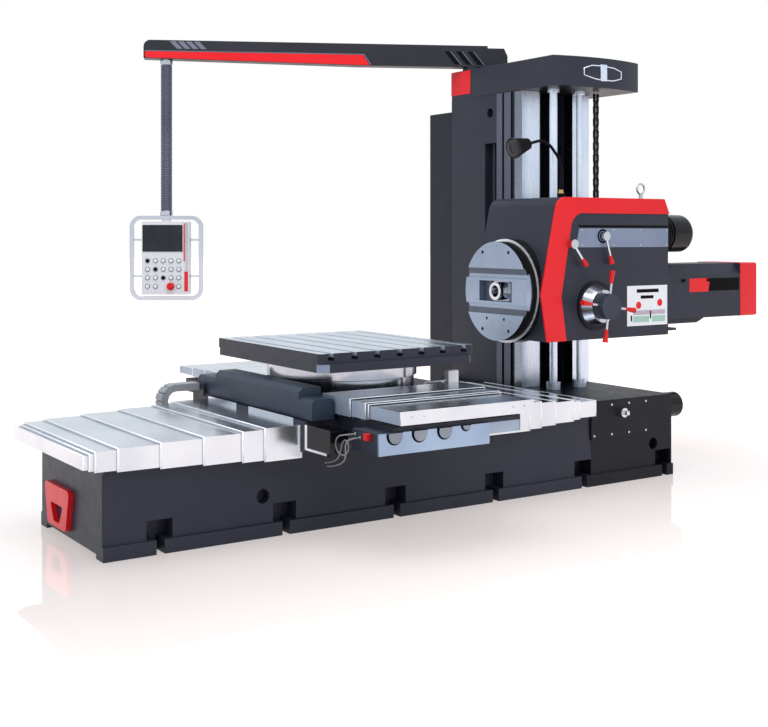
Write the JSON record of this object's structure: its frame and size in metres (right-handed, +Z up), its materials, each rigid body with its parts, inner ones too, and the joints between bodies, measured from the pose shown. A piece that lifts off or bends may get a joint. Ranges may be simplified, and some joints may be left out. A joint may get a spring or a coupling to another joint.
{
  "type": "horizontal boring mill",
  "caption": "Horizontal boring mill: cast bed with telescopic covers, cross-sliding rotary T-slot table, and a headstock with a facing head on a side column, with a swinging control pendant.",
  "frame": {"origin": "centre of the bed's underside, on the floor", "axes": "+X along the bed towards the column, +Y away from the operator, +Z up"},
  "size_m": [4.911, 3.1799, 2.794],
  "materials": {
    "cast_paint": "satin machine paint",
    "red_paint": "gloss paint",
    "black_paint": "satin paint",
    "ground_steel": "ground and oiled",
    "cover_sheet": "bright sheet",
    "head_casting": "machined casting",
    "control_metal": "polished",
    "lamp_black": "matt",
    "light_panel": "pale paint",
    "frame_metal": "satin"
  },
  "bodies": {
    "root": {"bed": "cast_paint", "lifting_frame": "red_paint", "feed_door": "cast_paint", "feed_shaft_end": "ground_steel", "bed_motor": "black_paint", "column": "cast_paint", "column_ways": "ground_steel", "column_cap": "cast_paint", "counterweight_guard": "cast_paint", "lift_shafts": "ground_steel", "headstock_chain": "ground_steel", "fixed_covers": "cover_sheet"},
    "saddle": {"saddle": "cast_paint", "saddle_front_plate": "cover_sheet", "saddle_motor": "black_paint", "energy_chain": "lamp_black", "saddle_covers": "cover_sheet", "near_cover_1": "cover_sheet", "far_cover_1": "cover_sheet", "oil_hose_1": "lamp_black", "oil_hose_2": "lamp_black"},
    "left_section_2": {"left_cover_2": "cover_sheet"},
    "left_section_3": {"left_cover_3": "cover_sheet"},
    "left_section_4": {"left_cover_4": "cover_sheet"},
    "left_section_5": {"left_cover_5": "cover_sheet"},
    "right_section_2": {"right_cover_2": "cover_sheet"},
    "right_section_3": {"right_cover_3": "cover_sheet"},
    "right_section_4": {"right_cover_4": "cover_sheet"},
    "right_section_5": {"right_cover_5": "cover_sheet"},
    "near_section_2": {"near_cover_2": "cover_sheet"},
    "near_section_3": {"near_cover_3": "cover_sheet"},
    "far_section_2": {"far_cover_2": "cover_sheet"},
    "cross_slide": {"cross_slide": "cast_paint", "cross_beam": "cast_paint", "switch_box": "light_panel", "near_cover_4": "cover_sheet", "far_cover_3": "cover_sheet"},
    "table": {"rotary_ring": "ground_steel", "table": "head_casting"},
    "headstock": {"headstock": "cast_paint", "way_keepers": "ground_steel", "headstock_band": "red_paint", "label_plate": "light_panel", "rear_motor": "black_paint", "tail_housing": "cast_paint", "tail_cap": "red_paint", "work_lamp": "lamp_black", "oil_gauge": "ground_steel"},
    "facing_head": {"facing_head": "head_casting"},
    "facing_slide": {"facing_slide": "head_casting"},
    "spindle_sleeve": {"spindle_sleeve": "ground_steel"},
    "spindle": {"spindle": "ground_steel"},
    "pilot_wheel": {"pilot_wheel": "control_metal"},
    "speed_lever": {"speed_lever": "control_metal"},
    "feed_lever": {"feed_lever": "control_metal"},
    "arm": {"arm": "cast_paint", "arm_trim": "red_paint"},
    "pendant": {"hanging_tube": "frame_metal", "pendant_frame": "frame_metal", "pendant_box": "light_panel"}
  },
  "joints": [
    {"name": "saddle_travel", "type": "slide", "parent": "root", "child": "saddle", "axis": [1, 0, 0], "range_m": [-0.65, 0.45]},
    {"name": "cross_feed", "type": "slide", "parent": "saddle", "child": "cross_slide", "axis": [0, 1, 0], "range_m": [-0.3, 0.3]},
    {"name": "table_turn", "type": "hinge", "parent": "cross_slide", "child": "table", "pos_m": [-0.302, 0, 0.808], "axis": [0, 0, 1], "continuous": true},
    {"name": "headstock_lift", "type": "slide", "parent": "root", "child": "headstock", "axis": [0, 0, 1], "range_m": [-0.24, 0.6], "deforming": ["headstock_chain"]},
    {"name": "facing_head_turn", "type": "hinge", "parent": "headstock", "child": "facing_head", "pos_m": [0.788, 0, 1.151], "axis": [1, 0, 0], "continuous": true},
    {"name": "facing_feed", "type": "slide", "parent": "facing_head", "child": "facing_slide", "axis": [0, -1, 0], "range_m": [-0.09, 0.09]},
    {"name": "sleeve_turn", "type": "hinge", "parent": "headstock", "child": "spindle_sleeve", "pos_m": [0.836, 0, 1.151], "axis": [1, 0, 0], "continuous": true},
    {"name": "spindle_feed", "type": "slide", "parent": "spindle_sleeve", "child": "spindle", "axis": [-1, 0, 0], "range_m": [0, 0.6]},
    {"name": "wheel_turn", "type": "hinge", "parent": "headstock", "child": "pilot_wheel", "pos_m": [1.31, -0.317, 1.062], "axis": [0, 1, 0], "continuous": true},
    {"name": "speed_lever_swing", "type": "hinge", "parent": "headstock", "child": "speed_lever", "pos_m": [1.098, -0.329, 1.437], "axis": [0, 1, 0], "range_deg": [-30, 30]},
    {"name": "feed_lever_swing", "type": "hinge", "parent": "headstock", "child": "feed_lever", "pos_m": [1.37, -0.317, 1.484], "axis": [0, 1, 0], "range_deg": [-30, 30]},
    {"name": "arm_swing", "type": "hinge", "parent": "root", "child": "arm", "pos_m": [1.325, 0.931, 2.645], "axis": [0, 0, 1], "range_deg": [-20, 70]},
    {"name": "pendant_swivel", "type": "hinge", "parent": "arm", "child": "pendant", "pos_m": [-0.53768, 1.86783, 2.7], "axis": [0, 0, 1], "range_deg": [-90, 90]},
    {"name": "left_section_2_travel", "type": "slide", "parent": "root", "child": "left_section_2", "axis": [1, 0, 0], "range_m": [-0.093, 0.065]},
    {"name": "left_section_3_travel", "type": "slide", "parent": "root", "child": "left_section_3", "axis": [1, 0, 0], "range_m": [-0.2685, 0.1865]},
    {"name": "left_section_4_travel", "type": "slide", "parent": "root", "child": "left_section_4", "axis": [1, 0, 0], "range_m": [-0.431, 0.299]},
    {"name": "left_section_5_travel", "type": "slide", "parent": "root", "child": "left_section_5", "axis": [1, 0, 0], "range_m": [-0.548, 0.38]},
    {"name": "right_section_2_travel", "type": "slide", "parent": "root", "child": "right_section_2", "axis": [1, 0, 0], "range_m": [-0.5415, 0.3755]},
    {"name": "right_section_3_travel", "type": "slide", "parent": "root", "child": "right_section_3", "axis": [1, 0, 0], "range_m": [-0.405, 0.281]},
    {"name": "right_section_4_travel", "type": "slide", "parent": "root", "child": "right_section_4", "axis": [1, 0, 0], "range_m": [-0.2295, 0.1595]},
    {"name": "right_section_5_travel", "type": "slide", "parent": "root", "child": "right_section_5", "axis": [1, 0, 0], "range_m": [-0.1645, 0.1145]},
    {"name": "near_section_2_travel", "type": "slide", "parent": "saddle", "child": "near_section_2", "axis": [0, 1, 0], "range_m": [-0.0671, 0.0671]},
    {"name": "near_section_3_travel", "type": "slide", "parent": "saddle", "child": "near_section_3", "axis": [0, 1, 0], "range_m": [-0.1838, 0.1838]},
    {"name": "far_section_2_travel", "type": "slide", "parent": "saddle", "child": "far_section_2", "axis": [0, 1, 0], "range_m": [-0.152, 0.152]}
  ],
  "couplings": [
    {"joint": "left_section_2_travel", "follows": "saddle_travel", "ratio": 0.14},
    {"joint": "left_section_3_travel", "follows": "saddle_travel", "ratio": 0.41},
    {"joint": "left_section_4_travel", "follows": "saddle_travel", "ratio": 0.66},
    {"joint": "left_section_5_travel", "follows": "saddle_travel", "ratio": 0.84},
    {"joint": "right_section_2_travel", "follows": "saddle_travel", "ratio": 0.83},
    {"joint": "right_section_3_travel", "follows": "saddle_travel", "ratio": 0.62},
    {"joint": "right_section_4_travel", "follows": "saddle_travel", "ratio": 0.35},
    {"joint": "right_section_5_travel", "follows": "saddle_travel", "ratio": 0.25},
    {"joint": "near_section_2_travel", "follows": "cross_feed", "ratio": 0.217},
    {"joint": "near_section_3_travel", "follows": "cross_feed", "ratio": 0.606},
    {"joint": "far_section_2_travel", "follows": "cross_feed", "ratio": 0.5}
  ]
}
